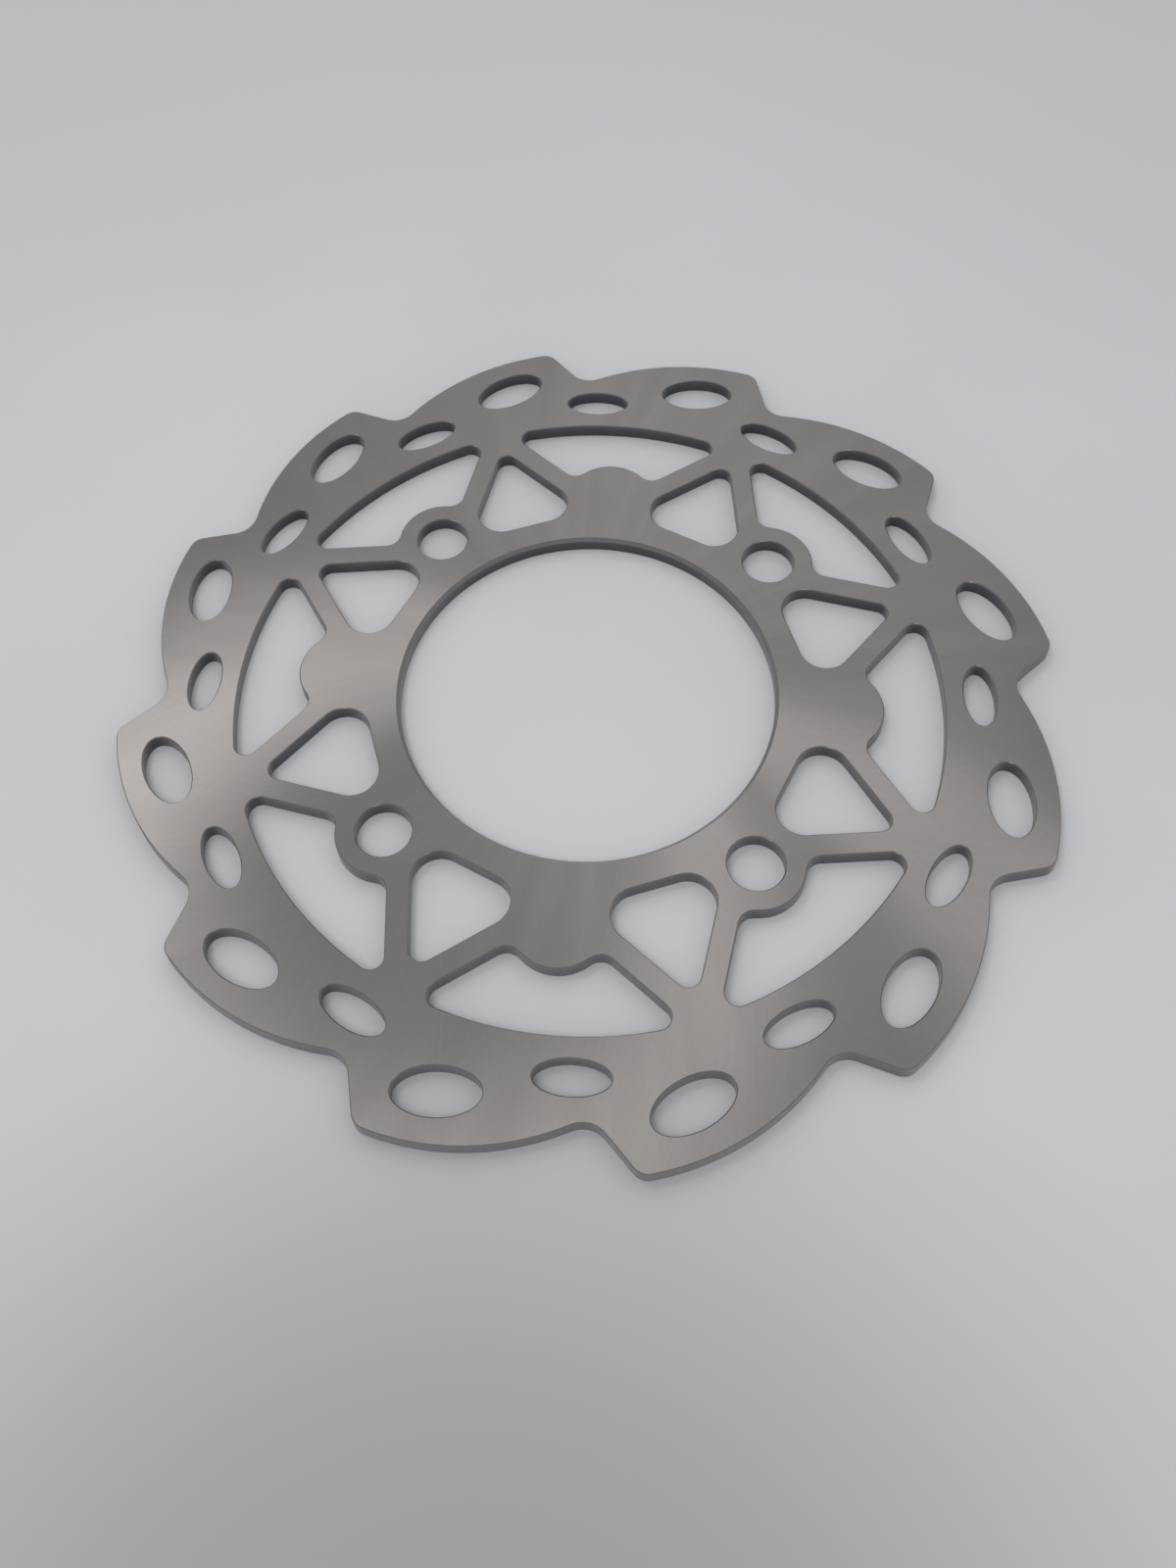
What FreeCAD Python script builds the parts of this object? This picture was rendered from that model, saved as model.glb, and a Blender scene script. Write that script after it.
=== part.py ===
"""One-piece wave brake disc for a small motorcycle, cut from flat stainless plate.

Origin: centre of the bore on the hub-side face. +Z: out of the outer face, along the wheel axis.
A bolt hole lies at 45 degrees from +X. Lengths are in millimetres and angles in degrees.
"""
import math
import os

import FreeCAD
import Part
import Sketcher

Vector = FreeCAD.Vector

DIMENSIONS = {
    "disc_thickness": 3.5,
    "outer_radius": 95.0,
    # mounting ring
    "bore_diameter": 76.0,
    "bore_chamfer": 0.7,
    "bolt_count": 4,
    "bolt_circle_diameter": 100.0,
    "bolt_hole_diameter": 11.0,
    "bolt_angle": 45.0,
    "boss_count": 8,
    "boss_radius": 9.4,
    # thin spokes: each leaves a boss at spoke_angle from the tangent there
    "spoke_angle": 36.3,
    "spoke_offset": 3.1,
    "spoke_width": 4.4,
    # arched windows between the spokes of one boss
    "arch_radius": 71.4,
    "arch_corner_fillet": 2.5,
    "arch_boss_fillet": 3.2,
    # rounded triangles between two bosses
    "triangle_base_distance": 44.2,
    "triangle_base_fillet": 5.3,
    "triangle_apex_fillet": 2.5,
    # wave outline: notch, long arc, rounded tip, steep drop to the next notch
    "lobe_count": 12,
    "lobe_arc_radius": 49.5,
    "lobe_root_radius": 80.0,
    "notch_angle": 95.4,
    "notch_centre_radius": 91.2,
    "notch_fillet": 5.1,
    "tip_angle": 102.2,
    "tip_fillet": 3.2,
    # two rows of oval vents in the brake band
    "large_vent_length": 16.0,
    "large_vent_width": 8.8,
    "large_vent_centre_radius": 84.8,
    "large_vent_angle": 78.2,
    "large_vent_tilt": 15.5,
    "small_vent_length": 13.9,
    "small_vent_width": 6.5,
    "small_vent_centre_radius": 78.5,
    "small_vent_angle": 94.0,
    "small_vent_tilt": -1.2,
    # sharp edges broken after cutting
    "edge_break": 0.2,
}


def polar(radius, angle):
    """Point at a radius and an angle in degrees from +X."""
    return Vector(radius * math.cos(math.radians(angle)), radius * math.sin(math.radians(angle)), 0)


def angle_of(vector):
    """Angle of a vector from +X, in radians."""
    return math.atan2(vector.y, vector.x)


def cell(name):
    """Expression that reads one driving dimension."""
    return "Dimensions." + name


def make_sheet(doc):
    """Spreadsheet with one named cell for each driving dimension."""
    sheet = doc.addObject("Spreadsheet::Sheet", "Dimensions")
    for row, (name, value) in enumerate(DIMENSIONS.items(), start=1):
        sheet.set("A%d" % row, name)
        sheet.set("B%d" % row, str(value))
        sheet.setAlias("B%d" % row, name)
    doc.recompute()
    return sheet


class Outline:
    """A sketch on the hub-side face whose constraints read the sheet."""

    def __init__(self, body, name):
        self.sketch = body.newObject("Sketcher::SketchObject", name)
        plane = next(item for item in body.Origin.OriginFeatures if item.Role == "XY_Plane")
        self.sketch.AttachmentSupport = [(plane, "")]
        self.sketch.MapMode = "FlatFace"

    def turn(self, expression):
        """Turn the sketch about the disc axis."""
        self.sketch.setExpression("AttachmentOffset.Rotation.Angle", expression)

    def shift(self, along_x, along_y):
        """Move the origin of the sketch within its plane."""
        self.sketch.setExpression("AttachmentOffset.Base.x", along_x)
        self.sketch.setExpression("AttachmentOffset.Base.y", along_y)

    def circle(self, centre, radius):
        return self.sketch.addGeometry(Part.Circle(centre, Vector(0, 0, 1), radius), False)

    def arc(self, centre, start, end):
        """Counter-clockwise arc about centre from start to end."""
        full = Part.Circle(centre, Vector(0, 0, 1), (start - centre).Length)
        first = angle_of(start - centre)
        last = angle_of(end - centre)
        if last < first:
            last += 2 * math.pi
        return self.sketch.addGeometry(Part.ArcOfCircle(full, first, last), False)

    def line(self, start, end, construction=False):
        return self.sketch.addGeometry(Part.LineSegment(start, end), construction)

    def fix(self, kind, *arguments):
        """Constraint without a size."""
        return self.sketch.addConstraint(Sketcher.Constraint(kind, *arguments))

    def size(self, expression, kind, *arguments):
        """Constraint whose size is an expression on the sheet."""
        index = self.sketch.addConstraint(Sketcher.Constraint(kind, *arguments))
        self.sketch.setExpression("Constraints[%d]" % index, expression)


ORIGIN_POINT = (-1, 1)
X_AXIS = -1
Y_AXIS = -2
START, END, CENTRE = 1, 2, 3


def circle_outline(body, name, radius, expression):
    """Circle about the disc axis."""
    outline = Outline(body, name)
    ring = outline.circle(Vector(), radius)
    outline.fix("Coincident", ring, CENTRE, *ORIGIN_POINT)
    outline.size(expression, "Radius", ring, radius)
    return outline.sketch


def bolt_hole_outline(body, dims):
    """One bolt hole on the bolt circle."""
    outline = Outline(body, "BoltHoleOutline")
    outline.turn(cell("bolt_angle"))
    hole = outline.circle(Vector(dims["bolt_circle_diameter"] / 2, 0, 0), dims["bolt_hole_diameter"] / 2)
    outline.fix("PointOnObject", hole, CENTRE, X_AXIS)
    outline.size(cell("bolt_circle_diameter") + " / 2", "DistanceX",
                 *ORIGIN_POINT, hole, CENTRE, dims["bolt_circle_diameter"] / 2)
    outline.size(cell("bolt_hole_diameter") + " / 2", "Radius", hole, dims["bolt_hole_diameter"] / 2)
    return outline.sketch


def vent_outline(body, name, dims, prefix):
    """One oval vent, its long axis along the sketch's X."""
    outline = Outline(body, name)
    radius = cell(prefix + "_centre_radius")
    angle = cell(prefix + "_angle")
    outline.shift("%s * cos(%s)" % (radius, angle), "%s * sin(%s)" % (radius, angle))
    outline.turn("%s - 90 + %s" % (angle, cell(prefix + "_tilt")))
    length = dims[prefix + "_length"]
    width = dims[prefix + "_width"]
    oval = outline.sketch.addGeometry(
        Part.Ellipse(Vector(length / 2, 0, 0), Vector(0, width / 2, 0), Vector()), False)
    outline.sketch.exposeInternalGeometry(oval)
    long_axis = oval + 1
    short_axis = oval + 2
    outline.fix("Coincident", oval, CENTRE, *ORIGIN_POINT)
    outline.fix("Horizontal", long_axis)
    outline.size(cell(prefix + "_length"), "Distance", long_axis, length)
    outline.size(cell(prefix + "_width"), "Distance", short_axis, width)
    return outline.sketch


def spoke_edge(dims, boss_angle, side):
    """A point and the direction of one edge of the spoke that leaves the boss at boss_angle clockwise.

    side is +1 for the edge next to the arched window and -1 for the edge next to the triangle.
    Also gives the edge's normal, which points from the window to the triangle.
    """
    boss = polar(dims["bolt_circle_diameter"] / 2, boss_angle)
    direction = polar(1, boss_angle - 90 + dims["spoke_angle"])
    normal = Vector(direction.y, -direction.x, 0)
    offset = dims["spoke_offset"] - side * dims["spoke_width"] / 2
    return boss + normal * offset, direction, normal


def window_outline(body, dims):
    """Arched window over the boss on +Y, symmetric about the Y axis."""
    pitch_radius = dims["bolt_circle_diameter"] / 2
    corner = dims["arch_corner_fillet"]
    inner = dims["arch_boss_fillet"]
    boss = Vector(0, pitch_radius, 0)
    point, direction, normal = spoke_edge(dims, 90, +1)

    base = point - normal * corner
    reach = dims["arch_radius"] - corner
    run = -base.dot(direction) + math.sqrt(base.dot(direction) ** 2 - base.dot(base) + reach ** 2)
    corner_centre = base + direction * run
    base = point - normal * inner - boss
    reach = dims["boss_radius"] + inner
    run = -base.dot(direction) + math.sqrt(base.dot(direction) ** 2 - base.dot(base) + reach ** 2)
    inner_centre = boss + base + direction * run

    arch_end = corner_centre * (dims["arch_radius"] / corner_centre.Length)
    edge_top = corner_centre + normal * corner
    edge_low = inner_centre + normal * inner
    boss_end = boss + (inner_centre - boss) * (dims["boss_radius"] / reach)

    def mirrored(vector):
        return Vector(-vector.x, vector.y, 0)

    outline = Outline(body, "WindowOutline")
    arch = outline.arc(Vector(), arch_end, mirrored(arch_end))
    left_corner = outline.arc(mirrored(corner_centre), mirrored(arch_end), mirrored(edge_top))
    left_edge = outline.line(mirrored(edge_top), mirrored(edge_low))
    left_inner = outline.arc(mirrored(inner_centre), mirrored(edge_low), mirrored(boss_end))
    boss_arc = outline.arc(boss, boss_end, mirrored(boss_end))
    right_inner = outline.arc(inner_centre, boss_end, edge_low)
    right_edge = outline.line(edge_low, edge_top)
    right_corner = outline.arc(corner_centre, edge_top, arch_end)

    outline.fix("Tangent", arch, END, left_corner, START)
    outline.fix("Tangent", left_corner, END, left_edge, START)
    outline.fix("Tangent", left_edge, END, left_inner, START)
    outline.fix("Tangent", left_inner, END, boss_arc, END)
    outline.fix("Tangent", boss_arc, START, right_inner, START)
    outline.fix("Tangent", right_inner, END, right_edge, START)
    outline.fix("Tangent", right_edge, END, right_corner, START)
    outline.fix("Tangent", right_corner, END, arch, START)
    outline.fix("Coincident", arch, CENTRE, *ORIGIN_POINT)
    outline.fix("PointOnObject", boss_arc, CENTRE, Y_AXIS)
    outline.fix("Equal", left_corner, right_corner)
    outline.fix("Equal", left_inner, right_inner)
    outline.fix("Symmetric", left_edge, START, right_edge, END, Y_AXIS)
    outline.size(cell("arch_radius"), "Radius", arch, dims["arch_radius"])
    outline.size(cell("boss_radius"), "Radius", boss_arc, dims["boss_radius"])
    outline.size(cell("arch_corner_fillet"), "Radius", right_corner, corner)
    outline.size(cell("arch_boss_fillet"), "Radius", right_inner, inner)
    outline.size(cell("bolt_circle_diameter") + " / 2", "DistanceY",
                 *ORIGIN_POINT, boss_arc, CENTRE, pitch_radius)
    outline.size(cell("spoke_angle"), "Angle", right_edge, math.radians(dims["spoke_angle"]))
    offset = dims["spoke_offset"] - dims["spoke_width"] / 2
    outline.size("%s - %s / 2" % (cell("spoke_offset"), cell("spoke_width")),
                 "Distance", boss_arc, CENTRE, right_edge, offset)
    return outline.sketch


def triangle_outline(body, dims):
    """Rounded triangle between two bosses, symmetric about the sketch's Y axis."""
    half_pitch = 180 / dims["boss_count"]
    apex = dims["triangle_apex_fillet"]
    corner = dims["triangle_base_fillet"]
    base_distance = dims["triangle_base_distance"]
    point, direction, normal = spoke_edge(dims, 90 + half_pitch, -1)

    apex_centre = Vector(0, (apex + point.dot(normal)) / normal.y, 0)
    corner_height = base_distance + corner
    corner_x = (corner + point.dot(normal) - corner_height * normal.y) / normal.x
    corner_centre = Vector(corner_x, corner_height, 0)
    apex_left = apex_centre - normal * apex
    corner_left = corner_centre - normal * corner
    base_left = Vector(corner_x, base_distance, 0)

    def mirrored(vector):
        return Vector(-vector.x, vector.y, 0)

    outline = Outline(body, "TriangleOutline")
    outline.turn("-180 / " + cell("boss_count"))
    apex_arc = outline.arc(apex_centre, mirrored(apex_left), apex_left)
    left_edge = outline.line(apex_left, corner_left)
    left_corner = outline.arc(corner_centre, corner_left, base_left)
    base = outline.line(base_left, mirrored(base_left))
    right_corner = outline.arc(mirrored(corner_centre), mirrored(base_left), mirrored(corner_left))
    right_edge = outline.line(mirrored(corner_left), mirrored(apex_left))
    boss = polar(dims["bolt_circle_diameter"] / 2, 90 + half_pitch)
    boss_ray = outline.line(Vector(), boss, True)

    outline.fix("Tangent", apex_arc, END, left_edge, START)
    outline.fix("Tangent", left_edge, END, left_corner, START)
    outline.fix("Tangent", left_corner, END, base, START)
    outline.fix("Tangent", base, END, right_corner, START)
    outline.fix("Tangent", right_corner, END, right_edge, START)
    outline.fix("Tangent", right_edge, END, apex_arc, START)
    outline.fix("PointOnObject", apex_arc, CENTRE, Y_AXIS)
    outline.fix("Symmetric", base, START, base, END, Y_AXIS)
    outline.fix("Equal", left_corner, right_corner)
    outline.fix("Coincident", boss_ray, START, *ORIGIN_POINT)
    outline.size(cell("bolt_circle_diameter") + " / 2", "Distance", boss_ray,
                 dims["bolt_circle_diameter"] / 2)
    outline.size("90 + 180 / " + cell("boss_count"), "Angle", boss_ray, math.radians(90 + half_pitch))
    outline.size(cell("triangle_apex_fillet"), "Radius", apex_arc, apex)
    outline.size(cell("triangle_base_fillet"), "Radius", left_corner, corner)
    outline.size(cell("triangle_base_distance"), "DistanceY", *ORIGIN_POINT, base, START, base_distance)
    edge_angle = half_pitch + dims["spoke_angle"] - 180
    outline.size("180 / %s + %s - 180" % (cell("boss_count"), cell("spoke_angle")),
                 "Angle", left_edge, math.radians(edge_angle))
    offset = dims["spoke_offset"] + dims["spoke_width"] / 2
    outline.size("%s + %s / 2" % (cell("spoke_offset"), cell("spoke_width")),
                 "Distance", boss_ray, END, left_edge, offset)
    return outline.sketch


def lobe_outline(body, dims):
    """One lobe of the wave outline, from a notch clockwise over the long arc and tip to the next notch."""
    pitch = 360 / dims["lobe_count"]
    notch = dims["notch_fillet"]
    tip = dims["tip_fillet"]
    sweep = dims["lobe_arc_radius"]
    root = dims["lobe_root_radius"]
    first_notch = polar(dims["notch_centre_radius"], dims["notch_angle"])
    next_notch = polar(dims["notch_centre_radius"], dims["notch_angle"] - pitch)
    tip_centre = polar(dims["outer_radius"] - tip, dims["tip_angle"] - pitch)

    # the long arc touches the first notch from outside and the tip from inside
    reach_notch = sweep + notch
    reach_tip = sweep - tip
    span = tip_centre - first_notch
    along = (reach_notch ** 2 - reach_tip ** 2 + span.Length ** 2) / (2 * span.Length)
    across = math.sqrt(reach_notch ** 2 - along ** 2)
    ahead = span / span.Length
    arc_centre = first_notch + ahead * along + Vector(ahead.y, -ahead.x, 0) * across

    # the drop touches the tip on its outer side and the next notch on its inner side
    span = next_notch - tip_centre
    ahead = span / span.Length
    lean = (tip + notch) / span.Length
    outward = ahead * lean + Vector(-ahead.y, ahead.x, 0) * math.sqrt(1 - lean ** 2)

    notch_floor = polar(dims["notch_centre_radius"] - notch, dims["notch_angle"])
    next_floor = polar(dims["notch_centre_radius"] - notch, dims["notch_angle"] - pitch)
    arc_start = first_notch + (arc_centre - first_notch) * (notch / reach_notch)
    arc_end = arc_centre + (tip_centre - arc_centre) * (sweep / reach_tip)
    drop_start = tip_centre + outward * tip
    drop_end = next_notch - outward * notch

    outline = Outline(body, "LobeOutline")
    notch_arc = outline.arc(first_notch, notch_floor, arc_start)
    long_arc = outline.arc(arc_centre, arc_end, arc_start)
    tip_arc = outline.arc(tip_centre, drop_start, arc_end)
    drop = outline.line(drop_start, drop_end)
    next_arc = outline.arc(next_notch, drop_end, next_floor)
    next_side = outline.line(next_floor, polar(root, dims["notch_angle"] - pitch))
    root_arc = outline.arc(Vector(), polar(root, dims["notch_angle"] - pitch), polar(root, dims["notch_angle"]))
    first_side = outline.line(polar(root, dims["notch_angle"]), notch_floor)
    first_ray = outline.line(Vector(), first_notch, True)
    next_ray = outline.line(Vector(), next_notch, True)
    tip_ray = outline.line(Vector(), tip_centre, True)

    outline.fix("Tangent", notch_arc, END, long_arc, END)
    outline.fix("Tangent", long_arc, START, tip_arc, END)
    outline.fix("Tangent", tip_arc, START, drop, START)
    outline.fix("Tangent", drop, END, next_arc, START)
    outline.fix("Coincident", next_arc, END, next_side, START)
    outline.fix("Coincident", next_side, END, root_arc, START)
    outline.fix("Coincident", root_arc, END, first_side, START)
    outline.fix("Coincident", first_side, END, notch_arc, START)
    outline.fix("Coincident", root_arc, CENTRE, *ORIGIN_POINT)
    for ray, arc in ((first_ray, notch_arc), (next_ray, next_arc), (tip_ray, tip_arc)):
        outline.fix("Coincident", ray, START, *ORIGIN_POINT)
        outline.fix("Coincident", ray, END, arc, CENTRE)
    outline.fix("PointOnObject", first_side, START, first_ray)
    outline.fix("PointOnObject", first_side, END, first_ray)
    outline.fix("PointOnObject", next_side, START, next_ray)
    outline.fix("PointOnObject", next_side, END, next_ray)
    outline.fix("Equal", first_ray, next_ray)
    outline.fix("Equal", notch_arc, next_arc)
    outline.size(cell("notch_fillet"), "Radius", notch_arc, notch)
    outline.size(cell("lobe_arc_radius"), "Radius", long_arc, sweep)
    outline.size(cell("tip_fillet"), "Radius", tip_arc, tip)
    outline.size(cell("lobe_root_radius"), "Radius", root_arc, root)
    outline.size(cell("notch_centre_radius"), "Distance", first_ray, dims["notch_centre_radius"])
    outline.size("%s - %s" % (cell("outer_radius"), cell("tip_fillet")),
                 "Distance", tip_ray, dims["outer_radius"] - tip)
    outline.size(cell("notch_angle"), "Angle", first_ray, math.radians(dims["notch_angle"]))
    pitch_text = "360 / " + cell("lobe_count")
    outline.size("%s - %s" % (cell("notch_angle"), pitch_text),
                 "Angle", next_ray, math.radians(dims["notch_angle"] - pitch))
    outline.size("%s - %s" % (cell("tip_angle"), pitch_text),
                 "Angle", tip_ray, math.radians(dims["tip_angle"] - pitch))
    return outline.sketch


def pad(body, name, sketch):
    """Plate of the disc's thickness over a sketch."""
    feature = body.newObject("PartDesign::Pad", name)
    feature.Profile = sketch
    feature.setExpression("Length", cell("disc_thickness"))
    return feature


def cut_through(body, name, sketch):
    """Opening right through the plate."""
    feature = body.newObject("PartDesign::Pocket", name)
    feature.Profile = sketch
    feature.Type = "ThroughAll"
    feature.Reversed = True
    return feature


def repeat(body, name, feature, sketch, count):
    """Copies of a feature spaced evenly around the disc axis."""
    pattern = body.newObject("PartDesign::PolarPattern", name)
    pattern.Originals = [feature]
    axis = next(item for item in body.Origin.OriginFeatures if item.Role == "Z_Axis")
    pattern.Axis = (axis, [""])
    pattern.Angle = 360
    pattern.setExpression("Occurrences", cell(count))
    body.Tip = pattern
    return pattern


def rim_edges(shape, heights, bore_radius, bore_height):
    """Names of the edges that lie flat at the given heights, without the bore's rim at bore_height."""
    names = []
    for number, edge in enumerate(shape.Edges, start=1):
        box = edge.BoundBox
        flat = [height for height in heights if max(abs(box.ZMin - height), abs(box.ZMax - height)) < 1e-6]
        if not flat:
            continue
        point = edge.valueAt(edge.FirstParameter)
        is_bore = abs(math.hypot(point.x, point.y) - bore_radius) < 1e-3
        if is_bore and abs(flat[0] - bore_height) < 1e-6:
            continue
        names.append("Edge%d" % number)
    return names


def bore_rim(shape, bore_radius, height):
    """Name of the bore's rim edge at a height."""
    for number, edge in enumerate(shape.Edges, start=1):
        point = edge.valueAt(edge.FirstParameter)
        on_bore = abs(math.hypot(point.x, point.y) - bore_radius) < 1e-3
        flat = max(abs(edge.BoundBox.ZMin - height), abs(edge.BoundBox.ZMax - height)) < 1e-6
        if on_bore and flat:
            return "Edge%d" % number
    raise RuntimeError("bore rim not found")


def chamfer(body, name, base, edges, size):
    """Chamfer of one size on named edges."""
    feature = body.newObject("PartDesign::Chamfer", name)
    feature.Base = (base, edges)
    feature.setExpression("Size", size)
    body.Tip = feature
    return feature


def build_disc(doc, dims):
    """The whole rotor: a wave-edged plate with its openings."""
    body = doc.addObject("PartDesign::Body", "RotorDisc")
    body.Label = "rotor_disc"

    root_disc = circle_outline(body, "RootDiscOutline", dims["lobe_root_radius"] + dims["notch_fillet"],
                               "%s + %s" % (cell("lobe_root_radius"), cell("notch_fillet")))
    pad(body, "RootDisc", root_disc)
    lobe_sketch = lobe_outline(body, dims)
    lobe = pad(body, "Lobe", lobe_sketch)
    plate = repeat(body, "WaveEdge", lobe, lobe_sketch, "lobe_count")
    doc.recompute()
    volume = plate.Shape.Volume

    openings = [
        ("Bore", circle_outline(body, "BoreOutline", dims["bore_diameter"] / 2,
                                cell("bore_diameter") + " / 2"), None),
        ("BoltHole", bolt_hole_outline(body, dims), "bolt_count"),
        ("Window", window_outline(body, dims), "boss_count"),
        ("Triangle", triangle_outline(body, dims), "boss_count"),
        ("LargeVent", vent_outline(body, "LargeVentOutline", dims, "large_vent"), "lobe_count"),
        ("SmallVent", vent_outline(body, "SmallVentOutline", dims, "small_vent"), "lobe_count"),
    ]
    for name, sketch, count in openings:
        last = cut_through(body, name, sketch)
        if count:
            last = repeat(body, name + "Pattern", last, sketch, count)
        doc.recompute()
        if last.Shape.Volume >= volume:
            raise RuntimeError(name + " cuts nothing")
        volume = last.Shape.Volume

    bore_radius = dims["bore_diameter"] / 2
    top = dims["disc_thickness"]
    edges = rim_edges(last.Shape, (0.0, top), bore_radius, top)
    broken = chamfer(body, "EdgeBreak", last, edges, cell("edge_break"))
    doc.recompute()
    rim = bore_rim(broken.Shape, bore_radius, top)
    chamfer(body, "BoreChamfer", broken, [rim], cell("bore_chamfer"))
    doc.recompute()
    return body


def check(doc, bodies):
    """Stop when any object failed or a shape is empty or invalid."""
    for item in doc.Objects:
        if "Invalid" in item.State or "Error" in item.State:
            raise RuntimeError("%s: %s" % (item.Name, item.State))
    for body in bodies:
        if body.Shape.isNull() or not body.Shape.isValid() or len(body.Shape.Solids) != 1:
            raise RuntimeError(body.Label + " is not one valid solid")


def main():
    doc = FreeCAD.newDocument("BrakeDiscRotor")
    make_sheet(doc)
    bodies = [build_disc(doc, DIMENSIONS)]
    check(doc, bodies)
    os.makedirs("parts", exist_ok=True)
    for body in bodies:
        body.Shape.exportStep(os.path.join("parts", body.Label + ".step"))


main()
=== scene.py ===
"""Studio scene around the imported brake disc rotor. Lengths are in metres and angles in degrees."""
import math

import bpy
from mathutils import Matrix, Vector

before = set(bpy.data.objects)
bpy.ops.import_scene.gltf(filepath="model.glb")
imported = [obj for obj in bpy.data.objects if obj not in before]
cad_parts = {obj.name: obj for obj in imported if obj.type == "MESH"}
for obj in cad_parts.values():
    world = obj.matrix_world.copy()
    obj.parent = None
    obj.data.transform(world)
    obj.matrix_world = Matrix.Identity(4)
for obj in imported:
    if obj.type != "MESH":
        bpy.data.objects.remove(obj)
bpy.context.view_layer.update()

# camera of the photograph, whose frame lies below the optical axis: hence the downward shift
CAMERA_PLACE = (0.024077, -0.173768, 0.276706)
CAMERA_AIM = (-0.014556, 0.053900, 0.0)
CAMERA_ROLL = -3.699
CAMERA_LENS = 36.532         # lens and sensor in millimetres
CAMERA_SENSOR = 36.0
CAMERA_SHIFT = (0.0258, -0.1873)
CAMERA_CLIP_START = 0.01

# lamps: name, angle from the zenith, azimuth, side, power in watts
LAMPS = (
    ("lamp_left", 22.0, 154.0, 0.26, 0.93),
    ("lamp_front", 26.0, -107.0, 0.50, 3.05),
    ("lamp_back", 35.0, 90.0, 0.60, 0.56),
)
LAMP_DISTANCE = 1.2
LAMP_COLOR = (1.0, 0.945, 0.91)

SKY_FRONT = (0.42, 0.425, 0.44)
SKY_BACK = (0.55, 0.55, 0.55)
SKY_LOW = (0.58, 0.59, 0.60)
SKY_CLIMB = (0.0, 0.45)      # height of the direction, from the low sky to the high one
SKY_TURN = (-0.5, 0.6)       # Y of the direction, from the front to the back

FLOOR_COLOR = (0.745, 0.762, 0.790)
FLOOR_DARKER = 0.965         # dark patches, as a share of the floor colour
# painted falloff of light: the floor colour turns darker far from the disc, over this reach of distance
# from the middle
FLOOR_PAINTED_FALLOFF = (0.670, 0.690, 0.712)
FLOOR_PAINTED_FALLOFF_REACH = (0.08, 0.30)
# painted shadow on the floor in front of the disc: its greyer colour, the spot it centres on and the
# distances over which it fades
FLOOR_PAINTED_SHADOW = (0.425, 0.434, 0.450)
FLOOR_PAINTED_SHADOW_PLACE = (-0.001, -0.190, 0.0)
FLOOR_PAINTED_SHADOW_REACH = (0.04, 0.15)
FLOOR_ROUGHNESS = (0.62, 0.70)
FLOOR_PATCH_SCALE = 9.0
FLOOR_GRAIN_SCALE = 900.0
FLOOR_BUMP = (0.05, 0.0001)  # strength and depth
FLOOR_SIDE = 8.0
FLOOR_DROP = 0.00002

# ground faces
STEEL_COLOR = (0.345, 0.335, 0.332)
STEEL_DARK = (0.318, 0.309, 0.307)
STEEL_ROUGHNESS = 0.35
STEEL_ROUGHNESS_SPREAD = 0.025
STEEL_PATCH_SCALE = 45.0
STEEL_PATCH_SHARE = 0.4
STEEL_BUMP = (0.12, 0.00002)   # strength and depth, on the cut walls too
# grinding marks: lean in radians per metre of radius, fineness around the disc, fineness outwards
FINE_MARKS = ((6.0, 150.0, 40.0), (-5.0, 110.0, 30.0))
BROAD_MARKS = (2.0, 14.0, 12.0)

# cut walls
CUT_COLOR = (0.017, 0.021, 0.029)
CUT_LIGHT = (0.031, 0.036, 0.046)
# painted light: the cut walls turn paler towards their upper edge, between these heights
CUT_PAINTED_TOP_LIGHT = (0.075, 0.080, 0.090)
CUT_PAINTED_TOP_LIGHT_HEIGHT = (0.0014, 0.0038)
# painted sheen: the cut walls' colour turns paler where they are seen at a grazing angle
CUT_PAINTED_SHEEN = (0.240, 0.235, 0.245)
CUT_PAINTED_SHEEN_FACING = (0.40, 0.88)     # from facing the wall to looking along it
CUT_METALLIC = 0.10
CUT_ROUGHNESS = 0.34
CUT_ROUGHNESS_SPREAD = 0.05
CUT_IOR = 1.8
CUT_LINE_SCALE = (2600.0, 2600.0, 260.0)
CUT_PATCH_SCALE = 160.0
CUT_PATCH_SHARE = 0.7
# upward or downward part of the normal, from a cut wall to a ground face
FACE_NORMAL = (0.2, 0.95)

# stretches of a noise value that a ramp spreads over its whole range
NOISE_MIDDLE = (0.35, 0.65)
NOISE_WIDE = (0.3, 0.7)


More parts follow.
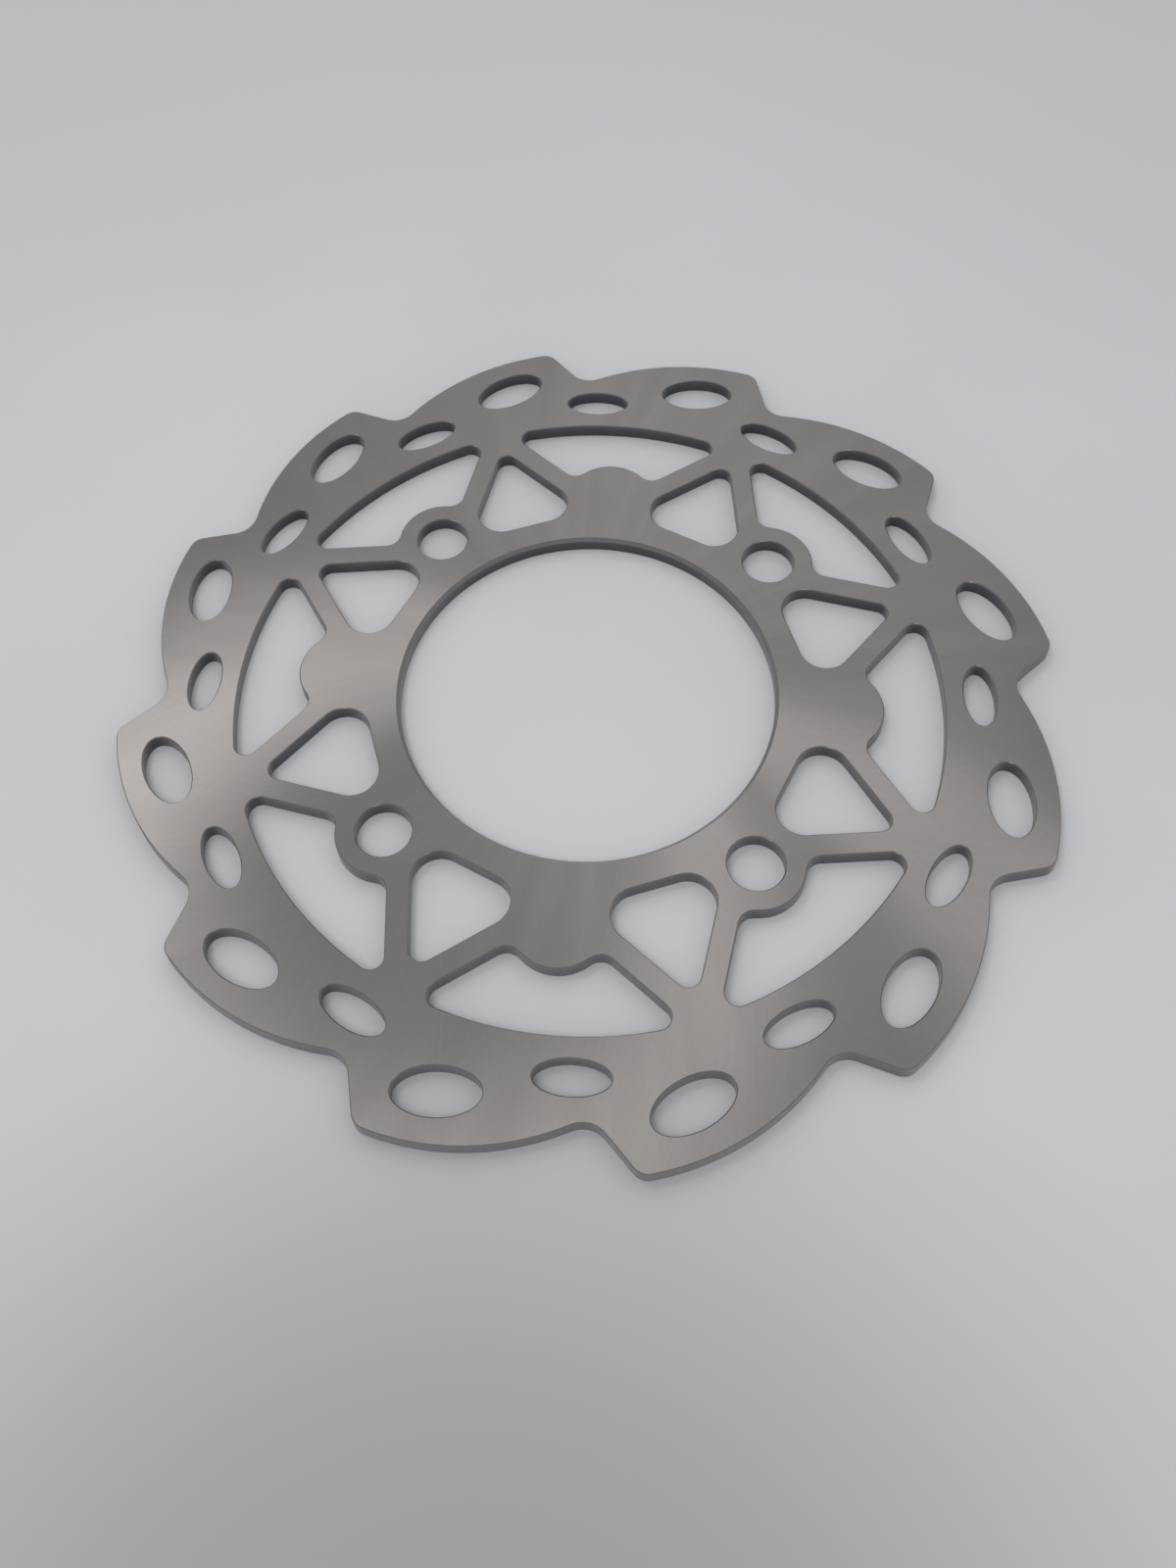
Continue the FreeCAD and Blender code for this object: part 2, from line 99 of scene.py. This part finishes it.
class Graph:
    """Short calls for building one node tree."""

    def __init__(self, tree):
        self.tree = tree
        tree.nodes.clear()

    def add(self, kind, inputs=None, **settings):
        node = self.tree.nodes.new(kind)
        for name, value in settings.items():
            setattr(node, name, value)
        for name, value in (inputs or {}).items():
            self.feed(node.inputs[name], value)
        return node

    def feed(self, socket, value):
        """Link a socket or set a value, and give a colour its alpha."""
        if isinstance(value, bpy.types.NodeSocket):
            self.tree.links.new(value, socket)
        elif isinstance(value, tuple) and len(value) == 3 and socket.type == "RGBA":
            socket.default_value = value + (1.0,)
        else:
            socket.default_value = value

    def math(self, operation, first, second=0.0):
        node = self.add("ShaderNodeMath", {0: first, 1: second}, operation=operation)
        return node.outputs[0]

    def vector(self, operation, first, second=(0.0, 0.0, 0.0)):
        return self.add("ShaderNodeVectorMath", {0: first, 1: second}, operation=operation)

    def ramp(self, value, low, high, to_low=0.0, to_high=1.0, smooth=True):
        node = self.add("ShaderNodeMapRange", {"Value": value, "From Min": low, "From Max": high,
                                               "To Min": to_low, "To Max": to_high})
        node.interpolation_type = "SMOOTHSTEP" if smooth else "LINEAR"
        return node.outputs["Result"]

    def mix(self, factor, first, second):
        """Mixed number: first at factor 0, second at factor 1."""
        node = self.add("ShaderNodeMix", {"Factor": factor}, data_type="FLOAT")
        self.feed(node.inputs[2], first)
        self.feed(node.inputs[3], second)
        return node.outputs[0]

    def blend(self, factor, first, second):
        """Mixed colour: first at factor 0, second at factor 1."""
        node = self.add("ShaderNodeMix", {"Factor": factor}, data_type="RGBA")
        self.feed(node.inputs[6], first)
        self.feed(node.inputs[7], second)
        return node.outputs[2]

    def noise(self, vector, scale=1.0, detail=2.0, roughness=0.5):
        node = self.add("ShaderNodeTexNoise", {"Vector": vector, "Scale": scale, "Detail": detail,
                                               "Roughness": roughness})
        return node.outputs["Fac"]

    def bump(self, strength, depth, height):
        node = self.add("ShaderNodeBump", {"Strength": strength, "Distance": depth, "Height": height})
        return node.outputs[0]


def start_graph(owner):
    owner.use_nodes = True
    return Graph(owner.node_tree)


def lay_marks(graph, flat, radius, lean, across, along):
    """Grinding marks that run outwards from the bore and lean to one side on their way."""
    direction = graph.vector("NORMALIZE", flat).outputs[0]
    angle = graph.math("MULTIPLY", radius, lean)
    turned = graph.add("ShaderNodeVectorRotate", {"Vector": direction, "Angle": angle},
                       rotation_type="Z_AXIS")
    spread = graph.vector("SCALE", turned.outputs[0])
    spread.inputs["Scale"].default_value = across
    lift = graph.add("ShaderNodeCombineXYZ", {"Z": graph.math("MULTIPLY", radius, along)}).outputs[0]
    return graph.noise(graph.vector("ADD", spread.outputs[0], lift).outputs[0])


def ground_steel():
    """Stainless plate: ground faces with radial grinding marks, and dark cut walls with painted light
    towards their upper edge and a painted sheen at grazing angles.
    """
    material = bpy.data.materials.new("ground_steel_finish")
    graph = start_graph(material)
    place = graph.add("ShaderNodeTexCoord")
    point = place.outputs["Object"]
    part = graph.add("ShaderNodeSeparateXYZ", {0: point})
    flat = graph.add("ShaderNodeCombineXYZ", {"X": part.outputs[0], "Y": part.outputs[1]}).outputs[0]
    radius = graph.vector("LENGTH", flat).outputs["Value"]
    normal = graph.add("ShaderNodeSeparateXYZ", {0: place.outputs["Normal"]})
    # 1 on the ground faces, 0 on the cut walls, in between on broken edges and the bore's chamfer
    face = graph.ramp(graph.math("ABSOLUTE", normal.outputs[2]), *FACE_NORMAL)

    fine = graph.mix(0.5, *[lay_marks(graph, flat, radius, *marks) for marks in FINE_MARKS])
    broad = lay_marks(graph, flat, radius, *BROAD_MARKS)
    patches = graph.noise(point, scale=STEEL_PATCH_SCALE, detail=3.0)
    cut_lines = graph.noise(graph.vector("MULTIPLY", point, CUT_LINE_SCALE).outputs[0])
    cut_patches = graph.noise(point, scale=CUT_PATCH_SCALE)

    steel_mottle = graph.mix(STEEL_PATCH_SHARE, fine, patches)
    steel = graph.blend(graph.ramp(steel_mottle, *NOISE_MIDDLE), STEEL_DARK, STEEL_COLOR)
    cut_mottle = graph.mix(CUT_PATCH_SHARE, cut_lines, cut_patches)
    cut = graph.blend(graph.ramp(cut_mottle, *NOISE_MIDDLE), CUT_COLOR, CUT_LIGHT)
    # painted light: paler cut walls towards the upper edge
    cut = graph.blend(graph.ramp(part.outputs[2], *CUT_PAINTED_TOP_LIGHT_HEIGHT), cut, CUT_PAINTED_TOP_LIGHT)
    # painted sheen: a paler cut wall colour blended in by the facing weight, stronger at grazing angles
    painted_sheen_facing = graph.add("ShaderNodeLayerWeight", {"Blend": 0.5}).outputs["Facing"]
    cut = graph.blend(graph.ramp(painted_sheen_facing, *CUT_PAINTED_SHEEN_FACING), cut, CUT_PAINTED_SHEEN)
    rough_steel = graph.ramp(graph.mix(0.5, broad, fine), *NOISE_MIDDLE,
                             STEEL_ROUGHNESS - STEEL_ROUGHNESS_SPREAD,
                             STEEL_ROUGHNESS + STEEL_ROUGHNESS_SPREAD)
    rough_cut = graph.ramp(cut_lines, *NOISE_WIDE, CUT_ROUGHNESS - CUT_ROUGHNESS_SPREAD,
                           CUT_ROUGHNESS + CUT_ROUGHNESS_SPREAD)
    relief = graph.bump(*STEEL_BUMP, graph.mix(face, cut_lines, fine))
    around = graph.add("ShaderNodeTangent", direction_type="RADIAL", axis="Z")
    shader = graph.add("ShaderNodeBsdfPrincipled", {
        "Base Color": graph.blend(face, cut, steel),
        "Metallic": graph.ramp(face, 0.0, 1.0, CUT_METALLIC, 1.0, smooth=False),
        "Roughness": graph.mix(face, rough_cut, rough_steel),
        "IOR": CUT_IOR,
        "Anisotropic": 1.0,
        "Tangent": around.outputs[0],
        "Normal": relief,
    })
    graph.add("ShaderNodeOutputMaterial", {"Surface": shader.outputs[0]})
    return material


def floor_finish():
    """Pale matt sheet with a faint unevenness, a painted shadow that makes it greyer in front of the disc,
    and a painted falloff of light that makes it darker far out.
    """
    material = bpy.data.materials.new("floor_finish")
    graph = start_graph(material)
    point = graph.add("ShaderNodeTexCoord").outputs["Object"]
    patches = graph.noise(point, scale=FLOOR_PATCH_SCALE, detail=3.0)
    grain = graph.noise(point, scale=FLOOR_GRAIN_SCALE, detail=1.0)
    darker = tuple(channel * FLOOR_DARKER for channel in FLOOR_COLOR)
    pale = graph.blend(graph.ramp(patches, *NOISE_MIDDLE), darker, FLOOR_COLOR)
    # painted falloff of light: darker floor colour far from the middle
    outwards = graph.vector("LENGTH", point).outputs["Value"]
    pale = graph.blend(graph.ramp(outwards, *FLOOR_PAINTED_FALLOFF_REACH), pale, FLOOR_PAINTED_FALLOFF)
    # painted shadow: the floor colour turns greyer towards a spot in front of the disc
    distance = graph.vector("DISTANCE", point, FLOOR_PAINTED_SHADOW_PLACE).outputs["Value"]
    relief = graph.bump(*FLOOR_BUMP, grain)
    shader = graph.add("ShaderNodeBsdfPrincipled", {
        "Base Color": graph.blend(graph.ramp(distance, *FLOOR_PAINTED_SHADOW_REACH), FLOOR_PAINTED_SHADOW, pale),
        "Roughness": graph.ramp(patches, *NOISE_WIDE, *FLOOR_ROUGHNESS),
        "Normal": relief,
    })
    graph.add("ShaderNodeOutputMaterial", {"Surface": shader.outputs[0]})
    return material


def add_object(name, data):
    added = bpy.data.objects.new(name, data)
    bpy.context.scene.collection.objects.link(added)
    return added


def make_floor():
    half = FLOOR_SIDE / 2
    corners = [(x, y, -FLOOR_DROP) for x, y in ((-half, -half), (half, -half), (half, half), (-half, half))]
    mesh = bpy.data.meshes.new("floor")
    mesh.from_pydata(corners, [], [(0, 1, 2, 3)])
    floor = add_object("floor", mesh)
    mesh.materials.append(floor_finish())


def make_lamps():
    """Square lamps on a dome over the origin, each facing it."""
    for name, zenith, azimuth, side, power in LAMPS:
        light = bpy.data.lights.new(name, "AREA")
        light.shape = "SQUARE"
        light.size = side
        light.energy = power
        light.color = LAMP_COLOR
        lamp = add_object(name, light)
        tilt, turn = math.radians(zenith), math.radians(azimuth)
        towards = Vector((math.sin(tilt) * math.cos(turn), math.sin(tilt) * math.sin(turn), math.cos(tilt)))
        lamp.location = towards * LAMP_DISTANCE
        lamp.rotation_euler = towards.to_track_quat("Z", "Y").to_euler()


def make_sky():
    """Grey dome, paler at the back and near the horizon."""
    world = bpy.data.worlds.new("studio")
    bpy.context.scene.world = world
    graph = start_graph(world)
    point = graph.add("ShaderNodeTexCoord").outputs["Generated"]
    direction = graph.add("ShaderNodeSeparateXYZ", {0: point})
    climb = graph.ramp(direction.outputs[2], *SKY_CLIMB)
    back = graph.ramp(direction.outputs[1], *SKY_TURN)
    high = graph.blend(back, SKY_FRONT, SKY_BACK)
    background = graph.add("ShaderNodeBackground", {"Color": graph.blend(climb, SKY_LOW, high)})
    graph.add("ShaderNodeOutputWorld", {"Surface": background.outputs[0]})


def make_camera():
    lens = bpy.data.cameras.new("camera")
    lens.sensor_width = CAMERA_SENSOR
    lens.lens = CAMERA_LENS
    lens.shift_x, lens.shift_y = CAMERA_SHIFT
    lens.clip_start = CAMERA_CLIP_START
    camera = add_object("camera", lens)
    camera.location = CAMERA_PLACE
    look = (Vector(CAMERA_AIM) - camera.location).to_track_quat("-Z", "Y").to_matrix()
    roll = Matrix.Rotation(math.radians(CAMERA_ROLL), 3, "Z")
    camera.rotation_euler = (look @ roll).to_euler()
    bpy.context.scene.camera = camera


finish = ground_steel()
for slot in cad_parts["rotor_disc"].material_slots:
    slot.material = finish
make_floor()
make_lamps()
make_sky()
make_camera()
bpy.context.scene.view_settings.view_transform = "Standard"
